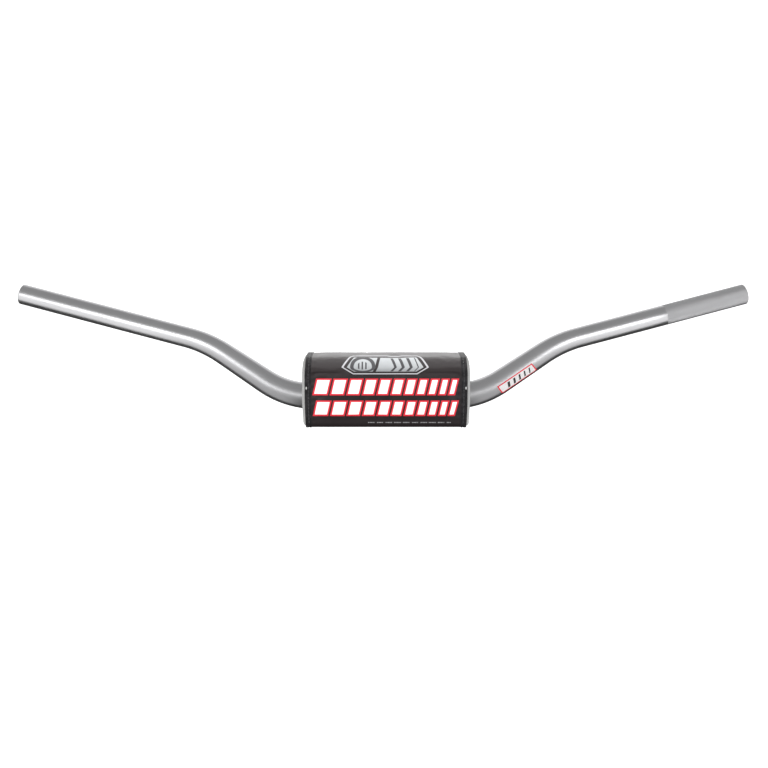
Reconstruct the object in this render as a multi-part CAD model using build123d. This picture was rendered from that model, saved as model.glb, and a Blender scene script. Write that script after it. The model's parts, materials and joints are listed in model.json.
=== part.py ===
"""Tapered motocross handlebar with a foam safety pad strapped over its clamp section.

Frame: the origin is the middle of the clamp section, on the tube's axis. +X points to the
rider's left, +Y to the rear of the motorcycle and +Z up. All sizes are in millimetres.
"""
from build123d import *
from math import cos, radians, sin, tan
import os

# --- the bent tube -----------------------------------------------------------------------
CLAMP_DIAMETER = 28.6       # oversized clamp section
CLAMP_BORE = 20.6
GRIP_DIAMETER = 22.2        # standard grip and control size
GRIP_BORE = 14.0
STRAIGHT_HALF = 74.0        # half of the straight clamp section
LOWER_BEND_RADIUS = 96.0
UPPER_BEND_RADIUS = 120.0
RISE_LENGTH = 53.3          # straight run between the two bends
GRIP_LENGTH = 195.8         # straight run from the upper bend to the end
RISE_ANGLE = 33.3           # slope of the rising run, seen from the front
RISE_SWEEP = 5.0            # and seen from above
GRIP_ANGLE = 13.4           # slope of the grip run, seen from the front
GRIP_SWEEP = 11.0           # and seen from above
END_CHAMFER = 0.6
BEND_STEPS = 8              # sections that shape each tapering bend

# --- the pad, whose outline is a rounded rectangle across the tube -------------------------
PAD_X = 3.0                 # the pad sits a little to the rider's left of the middle
PAD_DEPTH = 74.0
PAD_TOP = 46.0
PAD_BOTTOM = -29.2
TOP_RADIUS = 15.0
BOTTOM_RADIUS = 5.0
HEM_THICKNESS = 0.5
HEM_WIDTH = 6.5
COVER_THICKNESS = 1.2
COVER_HALF = 85.2
FOAM_GAP = 0.15             # between the foam and its cover
FOAM_HALF = 89.6
FOAM_END_RADIUS = 3.0
SLOT_RADIUS = 15.1          # channel that takes the tube, open below
SLOT_LIFT = 1.0             # how far the channel rises in the end sections, where the tube does
POCKET_INNER = 25.0         # the two clamp pockets, measured from the pad's middle
POCKET_OUTER = 75.0
POCKET_HALF_DEPTH = 29.0
POCKET_TOP = 30.0
POCKET_RADIUS = 5.0
RETURN_EDGE = 29.5          # where the cover's bottom returns end beside the pockets
END_RETURN_EDGE = 15.6      # and beside the tube

# --- the hook-and-loop closure, recessed under the middle of the pad -----------------------
TAB_HALF = 24.0             # half width of the cover's two raised tabs
TAB_UNDERSIDE = -23.7
TAB_INNER_EDGE = 14.0
STRIP_HALF = 22.0           # half width of the flap and its strips
STRIP_THICKNESS = 1.2
STRIP_GAP = 0.1
LOOP_REAR, LOOP_FRONT = -14.5, -27.9
HOOK_REAR, HOOK_FRONT = -16.2, -26.2
FLAP_THICKNESS = 1.0
HINGE_Y = 22.0
FLAP_KNEE_Y = -8.0
FLAP_TIP_Y = -27.4
HINGE_CLEARANCE = 0.05
SEWN_EDGE_FRONT, SEWN_EDGE_REAR = 23.6, 28.2     # clear of the flap when it is folded back

# --- thread ------------------------------------------------------------------------------
STITCH_LENGTH = 2.6
STITCH_WIDTH = 0.7
STITCH_HEIGHT = 0.3
STITCH_PITCH = 3.6
HEM_SEAM_INSET = 3.8        # from the hem's outer edge to its row of stitches

# --- the sticker on the rider's left rising run --------------------------------------------
STICKER_LENGTH = 46.0
STICKER_THICKNESS = 0.15
STICKER_GAP = 0.08
STICKER_START = -7.6        # from the end of the lower bend, so it begins on the bend
STICKER_TURN = -27.0        # its middle, round the tube from straight ahead; minus is down
STICKER_HALF_ANGLE = 24.0   # from its middle to either long edge, round the tube

OVERSIZE = 200.0            # larger than the pad, for cutting tools


def run_direction(rise, sweep):
    """Unit vector of a run on the +X side, from its slopes in front and top view."""
    return Vector(1, tan(radians(sweep)), tan(radians(rise))).normalized()


def bend_stations(start, before, after, radius):
    """Points, directions and arc lengths along a bend from one direction to the next."""
    angle = radians(before.get_angle(after))
    inward = (after - before * before.dot(after)).normalized()
    stations = []
    for step in range(BEND_STEPS + 1):
        turn = angle * step / BEND_STEPS
        point = start + before * (radius * sin(turn)) + inward * (radius * (1 - cos(turn)))
        stations.append((point, before * cos(turn) + inward * sin(turn), radius * turn))
    return stations


ALONG = Vector(1, 0, 0)
RISE = run_direction(RISE_ANGLE, RISE_SWEEP)
GRIP = run_direction(GRIP_ANGLE, GRIP_SWEEP)
LOWER_BEND = bend_stations(Vector(STRAIGHT_HALF, 0, 0), ALONG, RISE, LOWER_BEND_RADIUS)
LOWER_ARC = LOWER_BEND[-1][2]
RISE_START = LOWER_BEND[-1][0]
UPPER_BEND = bend_stations(RISE_START + RISE * RISE_LENGTH, RISE, GRIP, UPPER_BEND_RADIUS)
GRIP_START = UPPER_BEND[-1][0]
TAPER_LENGTH = LOWER_ARC + RISE_LENGTH + UPPER_BEND[-1][2]


def tapered(middle, end, distance):
    """Radius at a distance along the taper, between the clamp radius and the grip radius."""
    return middle + (end - middle) * distance / TAPER_LENGTH


def bend_solid(stations, middle, end, before):
    """Tapering bend through round sections; before is the taper's length ahead of it."""
    sections = []
    for point, direction, distance in stations:
        plane = Plane(origin=point, x_dir=(0, 1, 0), z_dir=direction)
        sections.append(plane * Circle(tapered(middle, end, before + distance)))
    return loft(sections)


def bar_solid(middle, end):
    """Solid rod along the whole bar, of one radius in the middle and another at the grips."""
    rise_plane = Plane(origin=RISE_START, z_dir=RISE)
    rise = Solid.make_cone(
        tapered(middle, end, LOWER_ARC),
        tapered(middle, end, LOWER_ARC + RISE_LENGTH),
        RISE_LENGTH,
        rise_plane,
    )
    grip = Solid.make_cylinder(end, GRIP_LENGTH, Plane(origin=GRIP_START, z_dir=GRIP))
    half = Part() + [
        bend_solid(LOWER_BEND, middle, end, 0),
        rise,
        bend_solid(UPPER_BEND, middle, end, LOWER_ARC + RISE_LENGTH),
        grip,
    ]
    centre = Rot(0, 90, 0) * Cylinder(middle, 2 * STRAIGHT_HALF)
    return Part() + [centre, half, mirror(half, Plane.YZ)]


def end_rims(tube):
    """Round edges of the two open ends."""
    right = GRIP_START + GRIP * GRIP_LENGTH
    ends = [right, Vector(-right.X, right.Y, right.Z)]
    rims = []
    for edge in tube.edges().filter_by(GeomType.CIRCLE):
        if min((edge.arc_center - end).length for end in ends) < END_CHAMFER / 2:
            rims.append(edge)
    return rims


def handlebar_tube():
    rod = bar_solid(CLAMP_DIAMETER / 2, GRIP_DIAMETER / 2)
    hollow = bar_solid(CLAMP_BORE / 2, GRIP_BORE / 2)
    tube = rod - hollow
    return chamfer(end_rims(tube), END_CHAMFER)


def bar_sticker():
    """Thin band low on the front of the rising run on the rider's left."""
    front = Vector(0, -1, 0)
    front = (front - RISE * front.dot(RISE)).normalized()
    up = front.cross(RISE).normalized()
    turn = radians(STICKER_TURN)
    middle = front * cos(turn) + up * sin(turn)
    plane = Plane(origin=RISE_START + RISE * STICKER_START, x_dir=middle, z_dir=RISE)
    clamp_radius = CLAMP_DIAMETER / 2 + STICKER_GAP
    grip_radius = GRIP_DIAMETER / 2 + STICKER_GAP
    inner = bar_solid(clamp_radius, grip_radius)
    outer = bar_solid(clamp_radius + STICKER_THICKNESS, grip_radius + STICKER_THICKNESS)
    reach = CLAMP_DIAMETER * tan(radians(STICKER_HALF_ANGLE))
    wedge = Polygon((0, 0), (CLAMP_DIAMETER, -reach), (CLAMP_DIAMETER, reach), align=None)
    wedge = extrude(plane * wedge, STICKER_LENGTH, dir=RISE)
    return (outer & wedge) - inner


def box(low, high):
    """Box between two corners."""
    size = [b - a for a, b in zip(low, high)]
    middle = [(a + b) / 2 for a, b in zip(low, high)]
    return Pos(*middle) * Box(*size)


def pad_box(low, high):
    """Box between two corners, with X counted from the pad's middle."""
    return Pos(PAD_X, 0, 0) * box(low, high)


def pad_outline(inset):
    """The pad's outline across the tube, pulled in by inset all round."""
    middle = Pos(0, (PAD_TOP + PAD_BOTTOM) / 2)
    outline = middle * Rectangle(PAD_DEPTH - 2 * inset, PAD_TOP - PAD_BOTTOM - 2 * inset)
    outline = fillet(outline.vertices().group_by(Axis.Y)[-1], TOP_RADIUS - inset)
    return fillet(outline.vertices().group_by(Axis.Y)[0], BOTTOM_RADIUS - inset)


def pad_block(inset, start, end):
    """The outline as a solid, from start to end along X, counted from the pad's middle."""
    return Pos(PAD_X + start, 0, 0) * extrude(Plane.YZ * pad_outline(inset), end - start)


def below(half_width, start, end):
    """Cutting tool that opens the pad's underside, mirrored to both halves."""
    ceiling = PAD_BOTTOM + BOTTOM_RADIUS
    tool = Part()
    for low, high in ((start, end), (-end, -start)):
        tool += pad_box((low, -half_width, -OVERSIZE), (high, half_width, ceiling))
    return tool


def cover_tab(side):
    """Step up from a bottom return and the flat tab behind it; side is -1 front, +1 rear."""
    edges = sorted((side * RETURN_EDGE, side * (RETURN_EDGE - COVER_THICKNESS)))
    flat = sorted((side * RETURN_EDGE, side * TAB_INNER_EDGE))
    tab_top = TAB_UNDERSIDE + COVER_THICKNESS
    step = pad_box((-TAB_HALF, edges[0], PAD_BOTTOM + HEM_THICKNESS), (TAB_HALF, edges[1], tab_top))
    tab = pad_box((-TAB_HALF, flat[0], TAB_UNDERSIDE), (TAB_HALF, flat[1], tab_top))
    return step + tab


def pad_cover():
    inner = HEM_THICKNESS + COVER_THICKNESS
    cover = pad_block(HEM_THICKNESS, -COVER_HALF, COVER_HALF)
    cover -= pad_block(inner, -COVER_HALF, COVER_HALF)
    cover -= below(RETURN_EDGE, 0, POCKET_OUTER)
    cover -= below(END_RETURN_EDGE, POCKET_OUTER, COVER_HALF)
    return cover + cover_tab(-1) + cover_tab(1)


def hem_tape(side):
    """Tape folded over one cut end of the cover; side is -1 or +1 along X."""
    outer_end = COVER_HALF + HEM_THICKNESS
    leaf = pad_block(0, outer_end - HEM_WIDTH, outer_end)
    leaf -= pad_block(HEM_THICKNESS, outer_end - HEM_WIDTH, outer_end)
    lip = pad_block(HEM_THICKNESS, COVER_HALF, outer_end)
    lip -= pad_block(HEM_THICKNESS + COVER_THICKNESS, COVER_HALF, outer_end)
    tape = leaf + lip - below(END_RETURN_EDGE, COVER_HALF - HEM_WIDTH, outer_end)
    if side > 0:
        return tape
    return mirror(tape, Plane.YZ.offset(PAD_X))


def slot(start, end, lift):
    """Channel for the tube, open below, between two places along X from the pad's middle."""
    channel = pad_box((start, -SLOT_RADIUS, -OVERSIZE), (end, SLOT_RADIUS, lift))
    crown = Pos(PAD_X + (start + end) / 2, 0, lift) * Rot(0, 90, 0) * Cylinder(SLOT_RADIUS, end - start)
    return channel + crown


def clamp_pocket(side):
    """Room for one handlebar clamp, open below; side is -1 or +1 along X."""
    low, high = sorted((side * POCKET_INNER, side * POCKET_OUTER))
    pocket = pad_box((low, -POCKET_HALF_DEPTH, -OVERSIZE), (high, POCKET_HALF_DEPTH, POCKET_TOP))
    ceiling_edges = pocket.edges().filter_by(Axis.X).group_by(Axis.Z)[-1]
    return fillet(ceiling_edges, POCKET_RADIUS)


def foam_core():
    inset = HEM_THICKNESS + COVER_THICKNESS + FOAM_GAP
    foam = pad_block(inset, -FOAM_HALF, FOAM_HALF)
    end_faces = foam.faces().sort_by(Axis.X)
    foam = fillet(end_faces[0].edges() + end_faces[-1].edges(), FOAM_END_RADIUS)
    foam -= slot(-POCKET_OUTER, POCKET_OUTER, 0)
    foam -= slot(POCKET_OUTER, FOAM_HALF, SLOT_LIFT)
    foam -= slot(-FOAM_HALF, -POCKET_OUTER, SLOT_LIFT)
    foam -= clamp_pocket(-1)
    foam -= clamp_pocket(1)
    recess = TAB_HALF + 2 * FOAM_GAP
    depth = RETURN_EDGE + FOAM_GAP
    ceiling = TAB_UNDERSIDE + COVER_THICKNESS + FOAM_GAP
    return foam - pad_box((-recess, -depth, -OVERSIZE), (recess, depth, ceiling))


def strap(points, half_width, thickness):
    """Flat strap through points (Y, Z) of its middle line, with round ends and knees."""
    solid = Part()
    for y, z in points:
        solid += Pos(PAD_X, y, z) * Rot(0, 90, 0) * Cylinder(thickness / 2, 2 * half_width)
    for (y0, z0), (y1, z1) in zip(points, points[1:]):
        run = Vector(0, y1 - y0, z1 - z0)
        plane = Plane(origin=(PAD_X, (y0 + y1) / 2, (z0 + z1) / 2), x_dir=(1, 0, 0), z_dir=run)
        solid += plane * Box(2 * half_width, thickness, run.length)
    return solid


HINGE_Z = TAB_UNDERSIDE - HINGE_CLEARANCE - FLAP_THICKNESS / 2
LOOP_UNDERSIDE = TAB_UNDERSIDE - STRIP_THICKNESS
HOOK_TOP = LOOP_UNDERSIDE - STRIP_GAP
FLAP_TOP = HOOK_TOP - STRIP_THICKNESS
FLAP_UNDERSIDE = FLAP_TOP - FLAP_THICKNESS


def closing_flap():
    flap_z = FLAP_TOP - FLAP_THICKNESS / 2
    middle_line = [(HINGE_Y, HINGE_Z), (FLAP_KNEE_Y, flap_z), (FLAP_TIP_Y, flap_z)]
    return strap(middle_line, STRIP_HALF, FLAP_THICKNESS)


def flap_sewn_edge():
    """The part of the flap's strap that is sewn flat under the rear tab."""
    top = TAB_UNDERSIDE
    return pad_box((-STRIP_HALF, SEWN_EDGE_FRONT, top - FLAP_THICKNESS), (STRIP_HALF, SEWN_EDGE_REAR, top))


def loop_strip():
    return pad_box((-STRIP_HALF, LOOP_FRONT, LOOP_UNDERSIDE), (STRIP_HALF, LOOP_REAR, TAB_UNDERSIDE))


def hook_strip():
    return pad_box((-STRIP_HALF, HOOK_FRONT, FLAP_TOP), (STRIP_HALF, HOOK_REAR, HOOK_TOP))


def stitch_row(y, surface):
    """Stitches in a row across the strap, hanging from a surface at height surface."""
    count = int((2 * STRIP_HALF - STITCH_LENGTH) / STITCH_PITCH)
    row = []
    for index in range(count):
        x = PAD_X + (index - (count - 1) / 2) * STITCH_PITCH
        row.append(Pos(x, y, surface - STITCH_HEIGHT / 2) * Box(STITCH_LENGTH, STITCH_WIDTH, STITCH_HEIGHT))
    return row


def hem_thread(side):
    """Stitches over the front, top and rear of one hem; side is -1 or +1 along X."""
    x = PAD_X + side * (COVER_HALF + HEM_THICKNESS - HEM_SEAM_INSET)
    outline = (Pos(x, 0, 0) * (Plane.YZ * pad_outline(0))).face().outer_wire()
    count = int(outline.length / STITCH_PITCH)
    heart = Vector(x, 0, (PAD_TOP + PAD_BOTTOM) / 2)
    stitches = []
    for index in range(count):
        place = outline.position_at(index / count)
        tangent = outline.tangent_at(index / count)
        outward = tangent.cross(ALONG)
        if outward.dot(place - heart) < 0:
            outward = -outward
        if place.Z > PAD_BOTTOM + 2 * BOTTOM_RADIUS:
            plane = Plane(origin=place + outward * (STITCH_HEIGHT / 2), x_dir=tangent, z_dir=outward)
            stitches.append(plane * Box(STITCH_LENGTH, STITCH_WIDTH, STITCH_HEIGHT))
    return stitches


def seam(*rows):
    """Separate stitches as one group."""
    return Compound([stitch for row in rows for stitch in row])


PARTS = {
    "handlebar_tube": handlebar_tube(),
    "bar_sticker": bar_sticker(),
    "foam_core": foam_core(),
    "pad_cover": pad_cover(),
    "hem_tape_left": hem_tape(1),
    "hem_tape_right": hem_tape(-1),
    "hem_thread_left": seam(hem_thread(1)),
    "hem_thread_right": seam(hem_thread(-1)),
    "loop_strip": loop_strip(),
    "loop_strip_thread": seam(
        stitch_row((LOOP_FRONT + HOOK_FRONT) / 2, LOOP_UNDERSIDE),
        stitch_row((LOOP_REAR + HOOK_REAR) / 2, LOOP_UNDERSIDE),
    ),
    "flap_sewn_edge": flap_sewn_edge(),
    "flap_seam_thread": seam(
        stitch_row((SEWN_EDGE_FRONT + SEWN_EDGE_REAR) / 2, TAB_UNDERSIDE - FLAP_THICKNESS)
    ),
    "closing_flap": closing_flap(),
    "hook_strip": hook_strip(),
    "hook_strip_thread": seam(
        stitch_row(HOOK_FRONT + STITCH_WIDTH, FLAP_UNDERSIDE),
        stitch_row(HOOK_REAR - STITCH_WIDTH, FLAP_UNDERSIDE),
    ),
}

os.makedirs("parts", exist_ok=True)
for name, shape in PARTS.items():
    export_step(shape, os.path.join("parts", name + ".step"))
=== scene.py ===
"""Visual model of a tapered motocross handlebar and its foam bar pad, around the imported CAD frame.

Lengths are in metres in the CAD frame: +X to the rider's left, +Y to the rear, +Z up, with the
origin in the middle of the clamp section. MM turns millimetres into metres.
"""
import json
import math
import random
from functools import partialmethod, reduce
from itertools import accumulate

import bmesh
import bpy
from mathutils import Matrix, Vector, noise


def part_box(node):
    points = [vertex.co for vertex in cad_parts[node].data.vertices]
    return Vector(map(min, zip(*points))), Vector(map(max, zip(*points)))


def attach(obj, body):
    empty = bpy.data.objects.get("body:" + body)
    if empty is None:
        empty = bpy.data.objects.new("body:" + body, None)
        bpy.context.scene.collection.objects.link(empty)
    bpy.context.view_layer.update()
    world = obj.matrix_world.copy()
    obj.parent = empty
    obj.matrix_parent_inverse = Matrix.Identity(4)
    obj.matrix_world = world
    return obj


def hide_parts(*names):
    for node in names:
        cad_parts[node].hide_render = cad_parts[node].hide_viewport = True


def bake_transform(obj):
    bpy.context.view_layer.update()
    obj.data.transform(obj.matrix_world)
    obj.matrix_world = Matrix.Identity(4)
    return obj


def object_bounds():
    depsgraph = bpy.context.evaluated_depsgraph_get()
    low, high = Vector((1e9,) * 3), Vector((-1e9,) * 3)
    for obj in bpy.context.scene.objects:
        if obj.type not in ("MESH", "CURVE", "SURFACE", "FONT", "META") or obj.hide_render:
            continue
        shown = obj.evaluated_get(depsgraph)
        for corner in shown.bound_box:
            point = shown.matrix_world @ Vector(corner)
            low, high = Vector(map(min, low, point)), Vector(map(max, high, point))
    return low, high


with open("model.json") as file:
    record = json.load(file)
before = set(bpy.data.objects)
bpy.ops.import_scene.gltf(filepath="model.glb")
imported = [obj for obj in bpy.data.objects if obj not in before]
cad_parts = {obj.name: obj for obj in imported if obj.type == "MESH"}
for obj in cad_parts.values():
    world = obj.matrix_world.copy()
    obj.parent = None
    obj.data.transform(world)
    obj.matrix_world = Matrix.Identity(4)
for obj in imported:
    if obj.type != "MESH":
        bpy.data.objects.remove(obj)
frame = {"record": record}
cad_low, cad_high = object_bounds()

MM = 0.001
PAD_BODY = "bar_and_pad"
scene = bpy.context.scene
mounts = {mount["name"]: mount for mount in frame["record"]["mounts"]}


# --- small helpers ---
def assign(thing, **settings):
    """Sets a thing's attributes by name and returns it."""
    for key, value in settings.items():
        setattr(thing, key, value)
    return thing


def add_object(name, data, place=(0, 0, 0), target=None):
    """Links a new object at a place, turned towards a target if there is one."""
    obj = bpy.data.objects.new(name, data)
    obj.location = place
    if target is not None:
        obj.rotation_euler = (Vector(place) - Vector(target)).to_track_quat("Z", "Y").to_euler()
    scene.collection.objects.link(obj)
    return obj


def new_object(name, bm, materials=()):
    """Turns a bmesh into a linked object and frees it."""
    mesh = bpy.data.meshes.new(name)
    bm.to_mesh(mesh)
    bm.free()
    for material in materials:
        mesh.materials.append(material)
    return add_object(name, mesh)


def spokes(across, other, count):
    """Unit vectors round a circle, from across towards other."""
    angles = [2 * math.pi * index / count for index in range(count)]
    return [across * math.cos(angle) + other * math.sin(angle) for angle in angles]


def quads(first, second):
    """Corners of the faces between two rings."""
    return zip(first, first[1:] + first[:1], second[1:] + second[:1], second)


def skin_rings(bm, rings, material=0, smooth_ends=True):
    """Faces round a run of rings, and across its two ends."""
    ends = [bm.faces.new(rings[0][::-1]), bm.faces.new(rings[-1])]
    sides = []
    for first, second in zip(rings, rings[1:]):
        sides += [bm.faces.new(corners) for corners in quads(first, second)]
    for face in sides + ends:
        face.smooth = True
        face.material_index = material
    for face in ends:
        face.smooth = smooth_ends


def face_forwards(bm):
    """Turns an open cloth's outer side to the front of the motorcycle."""
    bmesh.ops.recalc_face_normals(bm, faces=bm.faces)
    front = min(bm.faces, key=lambda face: face.calc_center_median().y)
    if front.normal.y > 0:
        bmesh.ops.reverse_faces(bm, faces=bm.faces)


def lerp(a, b, t):
    return a + (b - a) * t


def place(piece, body, node, slot):
    """Rides a piece on its body in the stead of its CAD node."""
    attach(piece, body)
    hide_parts(node)
    return piece


# --- camera ---
CAMERA_DISTANCE = 1.5
CAMERA_ELEVATION = math.radians(8)
CAMERA_TARGET = Vector((0.8, 0, 13)) * MM
CAMERA_LENS = 65.2  # millimetres on a 36 mm wide sensor

camera_back = Vector((0, -math.cos(CAMERA_ELEVATION), math.sin(CAMERA_ELEVATION)))
camera_data = assign(bpy.data.cameras.new("camera"), lens=CAMERA_LENS, sensor_width=36, clip_end=50)
scene.camera = add_object("camera", camera_data, camera_back * CAMERA_DISTANCE, CAMERA_TARGET)
scene.view_settings.view_transform = "Standard"


# --- materials ---
class Field:
    """A number that a node gives, with arithmetic that adds nodes."""

    def __init__(self, nodes, socket):
        self.nodes = nodes
        self.socket = socket

    def math(self, operation, other=0.0):
        return self.nodes.math(operation, self, other)

    __add__ = partialmethod(math, "ADD")
    __sub__ = partialmethod(math, "SUBTRACT")
    __mul__ = partialmethod(math, "MULTIPLY")
    __truediv__ = partialmethod(math, "DIVIDE")
    __abs__ = partialmethod(math, "ABSOLUTE")

    def __rsub__(self, other):
        return self.nodes.math("SUBTRACT", other, self)


def lowest(*fields):
    return reduce(lambda a, b: a.math("MINIMUM", b), fields)


def highest(*fields):
    return reduce(lambda a, b: a.math("MAXIMUM", b), fields)


class Nodes:
    """Short way to build a material's node tree."""

    def __init__(self, name):
        self.material = bpy.data.materials.new(name)
        self.material.use_nodes = True
        self.tree = self.material.node_tree
        self.shader = self.tree.nodes["Principled BSDF"]

    def add(self, kind, inputs=(), **settings):
        """New node, with the inputs named in a dict set or connected."""
        node = assign(self.tree.nodes.new("ShaderNode" + kind), **settings)
        for key, value in dict(inputs).items():
            self.plug(value, node.inputs[key])
        return node

    def plug(self, source, socket):
        """Connects an output or a field, or sets a plain value or colour, on an input socket."""
        if isinstance(source, Field):
            source = source.socket
        if isinstance(source, bpy.types.NodeSocket):
            self.tree.links.new(source, socket)
        else:
            socket.default_value = (*source, 1) if socket.type == "RGBA" else source

    def math(self, operation, a, b=0.0):
        return Field(self, self.add("Math", {0: a, 1: b}, operation=operation).outputs[0])

    def noise(self, scale, detail=4.0, roughness=0.55, stretch=(1, 1, 1)):
        """Noise over the position on the object, optionally stretched."""
        source = self.add("TexCoord").outputs["Object"]
        place = self.add("Mapping", {"Scale": stretch, "Vector": source}).outputs[0]
        settings = {"Scale": scale, "Detail": detail, "Roughness": roughness, "Vector": place}
        return Field(self, self.add("TexNoise", settings).outputs["Fac"])

    def uv(self):
        """The mesh's own surface coordinates, along and across, in millimetres."""
        parts = self.add("SeparateXYZ", {0: self.add("UVMap", uv_map="surface").outputs[0]})
        return [Field(self, output) * 1000 for output in parts.outputs[:2]]

    def ramp(self, factor, *stops):
        """Value ramp through (place, value) stops."""
        node = self.add("ValToRGB", {0: factor})
        elements = node.color_ramp.elements
        while len(elements) < len(stops):
            elements.new(0.5)
        for element, (at, value) in zip(elements, stops):
            element.position = at
            element.color = (value, value, value, 1)
        return Field(self, node.outputs[0])

    def mix(self, factor, a, b):
        """Mixes two colours, by the numbers of the node's colour sockets."""
        return self.add("Mix", {0: factor, 6: a, 7: b}, data_type="RGBA").outputs[2]

    def bump(self, height, strength, distance):
        node = self.add("Bump", {"Strength": strength, "Distance": distance, "Height": height})
        previous = self.shader.inputs["Normal"]
        if previous.is_linked:
            self.plug(previous.links[0].from_socket, node.inputs["Normal"])
        self.plug(node.outputs[0], previous)

    def set(self, **inputs):
        """Sets shader inputs by name, with underscores for spaces."""
        for key, value in inputs.items():
            self.plug(value, self.shader.inputs[key.replace("_", " ")])
        return self.material


def anodised_material(name, colour, roughness, grain):
    """Satin grey anodising over shot-peened aluminium."""
    n = Nodes(name)
    tint = n.mix(n.noise(35, 3), tuple(c * 0.93 for c in colour), tuple(c * 1.06 for c in colour))
    rough = n.noise(160, 4) * 0.12 + (roughness - 0.06)
    n.bump(n.noise(grain, 2), 0.12, 0.00004)
    return n.set(Base_Color=tint, Roughness=rough, Metallic=1.0)


ANODISED = (  # name, colour, roughness and grain
    ("anodised_tube", (0.50, 0.50, 0.51), 0.33, 2600),
    ("anodised_knurl", (0.53, 0.53, 0.54), 0.38, 3200),
    ("bore_metal", (0.62, 0.62, 0.62), 0.35, 2000),
)


# --- the tube ---
clamp_zone, grip_seat = mounts["centre_clamp_zone"], mounts["left_grip_seat"]
CLAMP_RADIUS = clamp_zone["dims"]["r_mm"] * MM
CLAMP_BORE_RADIUS = 10.3 * MM
GRIP_RADIUS = grip_seat["dims"]["r_mm"] * MM
GRIP_BORE_RADIUS = mounts["left_end_bore"]["dims"]["r_mm"] * MM
STRAIGHT_HALF = clamp_zone["dims"]["length_mm"] / 2 * MM
GRIP_CYLINDER = grip_seat["dims"]["length_mm"] * MM
GRIP = Vector(grip_seat["axis"]).normalized()
END_CHAMFER = 0.6 * MM
LOWER_BEND_RADIUS = 96 * MM
UPPER_BEND_RADIUS = 120 * MM
RISE_LENGTH = 53.3 * MM
RISE = Vector((1, math.tan(math.radians(5)), math.tan(math.radians(33.3)))).normalized()
KNURL_LENGTH = 96 * MM
KNURL_DEPTH = 0.2 * MM
ROUND = 128  # points round the tube
KNURL_STEP = 2 * math.pi * GRIP_RADIUS / ROUND
RING_STEP = 3 * MM


def add_bend(route, after, radius):
    """Turns a route of points and directions round to a new direction; returns the bend's length."""
    start, before = route[-1]
    angle = before.angle(after)
    inward = (after - before * before.dot(after)).normalized()
    steps = max(4, int(angle * radius / RING_STEP))
    for step in range(1, steps + 1):
        turn = angle * step / steps
        point = start + radius * (before * math.sin(turn) + inward * (1 - math.cos(turn)))
        route.append((point, before * math.cos(turn) + inward * math.sin(turn)))
    route[-1] = (route[-1][0], after)
    return angle * radius


def add_straight(route, length, step):
    """Takes a route straight on."""
    start, direction = route[-1]
    steps = max(1, round(length / step))
    route += [(start + direction * (length * i / steps), direction) for i in range(1, steps + 1)]


def centreline():
    """Stations (point, direction, distance from the middle) on the rider's left half."""
    route = [(Vector((0, 0, 0)), Vector((1, 0, 0)))]
    add_straight(route, STRAIGHT_HALF, 4 * RING_STEP)
    taper = add_bend(route, RISE, LOWER_BEND_RADIUS) + RISE_LENGTH
    add_straight(route, RISE_LENGTH, 2 * RING_STEP)
    taper += add_bend(route, GRIP, UPPER_BEND_RADIUS)
    add_straight(route, GRIP_CYLINDER + END_CHAMFER - KNURL_LENGTH, 6 * RING_STEP)
    add_straight(route, KNURL_LENGTH - END_CHAMFER, KNURL_STEP)
    lengths = [(there[0] - here[0]).length for here, there in zip(route, route[1:])]
    distances = accumulate(lengths, initial=0.0)
    return [(*station, distance) for station, distance in zip(route, distances)], taper


HALF_STATIONS, TAPER_LENGTH = centreline()
TUBE_END = HALF_STATIONS[-1][2]


def radius_at(distance, middle, end):
    """Tube radius at a distance from the middle of the bar."""
    share = min(max((distance - STRAIGHT_HALF) / TAPER_LENGTH, 0), 1)
    return lerp(middle, end, share)


def tube_place(distance):
    """Point on the tube's axis and direction there, at a distance from the middle."""
    for first, second in zip(HALF_STATIONS, HALF_STATIONS[1:]):
        if distance <= second[2]:
            share = (distance - first[2]) / (second[2] - first[2])
            return first[0].lerp(second[0], share), first[1].lerp(second[1], share).normalized()
    return HALF_STATIONS[-1][:2]


def mirrored(stations):
    """Stations of the other half, from the far end towards the middle, middle left out."""
    return [
        (Vector((-point.x, point.y, point.z)), Vector((way.x, -way.y, -way.z)), -distance)
        for point, way, distance in reversed(stations[1:])
    ]


def around(direction):
    """Unit vectors square to a direction: towards the rear, and up."""
    rear = Vector((0, 1, 0))
    rear = (rear - direction * rear.dot(direction)).normalized()
    return rear, direction.cross(rear).normalized()


def add_ring(bm, point, direction, radius):
    """Ring of points round a station; radius is one length or one for each point."""
    radii = radius if isinstance(radius, list) else [radius] * ROUND
    spread = zip(spokes(*around(direction), ROUND), radii)
    return [bm.verts.new(point + spoke * reach) for spoke, reach in spread]


def join_rings(bm, first, second, material=0, smooth=True, diagonal=None):
    """Faces between two rings; diagonal says which corners a split face joins."""
    for index, (a, b, c, d) in enumerate(quads(first, second)):
        if diagonal is None:
            faces = [(a, b, c, d)]
        elif (index + diagonal) % 2:
            faces = [(a, b, d), (b, c, d)]
        else:
            faces = [(a, b, c), (a, c, d)]
        for corners in faces:
            assign(bm.faces.new(corners), material_index=material, smooth=smooth)


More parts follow.
